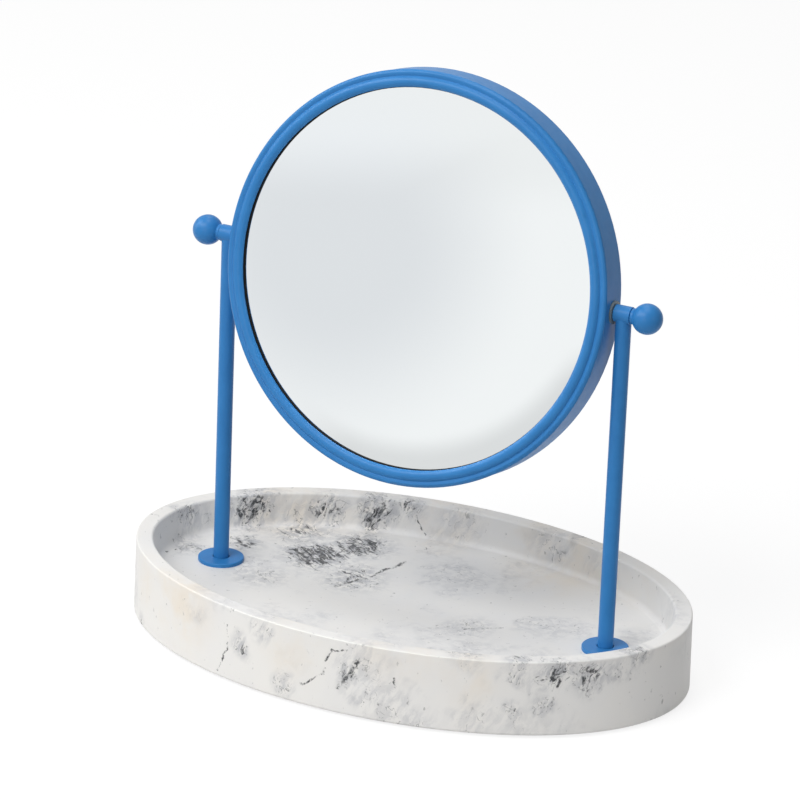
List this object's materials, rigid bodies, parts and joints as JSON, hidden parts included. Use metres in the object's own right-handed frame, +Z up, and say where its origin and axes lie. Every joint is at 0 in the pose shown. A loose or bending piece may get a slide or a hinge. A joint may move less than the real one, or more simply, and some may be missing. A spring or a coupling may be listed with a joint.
{
  "type": "tilting vanity mirror on an oval tray",
  "caption": "Round tilting vanity mirror held between two slim posts with ball knobs, standing in an oval marbled cast-resin tray for jewellery.",
  "frame": {"origin": "on the table, under the middle of the oval tray", "axes": "+Z up, the mirror looks towards -Y, +X towards the right-hand post seen from the front"},
  "size_m": [0.2412, 0.1548, 0.2419],
  "materials": {
    "tray_resin": "matte cast resin with stone powder, warm white with charcoal marbling",
    "blue_paint": "satin powder coat over steel",
    "mirror_silver": "silvered float glass",
    "grey_backing": "mirror back paint",
    "black_rubber": "matte",
    "foam": "light foam board",
    "grey_nylon": "translucent grey",
    "zinc_steel": "zinc plated",
    "clear_rubber": "clear silicone"
  },
  "bodies": {
    "root": {"tray": "tray_resin", "foot_pads": "clear_rubber", "left_post": "blue_paint", "left_pivot_barrel": "blue_paint", "left_post_flange": "blue_paint", "left_base_washer": "zinc_steel", "left_base_screw": "zinc_steel", "right_post": "blue_paint", "right_pivot_barrel": "blue_paint", "right_post_flange": "blue_paint", "right_base_washer": "zinc_steel", "right_base_screw": "zinc_steel"},
    "mirror": {"mirror_housing": "blue_paint", "front_bezel": "blue_paint", "mirror_glass": "mirror_silver", "mirror_backing": "grey_backing", "glass_gasket": "black_rubber", "foam_pad": "foam", "left_pivot_washer": "grey_nylon", "left_pivot_nut": "zinc_steel", "right_pivot_washer": "grey_nylon", "right_pivot_nut": "zinc_steel"},
    "left_knob": {"left_knob_stud": "zinc_steel", "left_ball_knob": "blue_paint"},
    "right_knob": {"right_knob_stud": "zinc_steel", "right_ball_knob": "blue_paint"}
  },
  "joints": [
    {"name": "mirror_tilt", "type": "hinge", "parent": "root", "child": "mirror", "pos_m": [0, 0, 0.1603], "axis": [1, 0, 0], "continuous": true},
    {"name": "left_knob_turn", "type": "hinge", "parent": "mirror", "child": "left_knob", "pos_m": [0, 0, 0.1603], "axis": [-1, 0, 0], "continuous": true},
    {"name": "right_knob_turn", "type": "hinge", "parent": "mirror", "child": "right_knob", "pos_m": [0, 0, 0.1603], "axis": [1, 0, 0], "continuous": true}
  ]
}
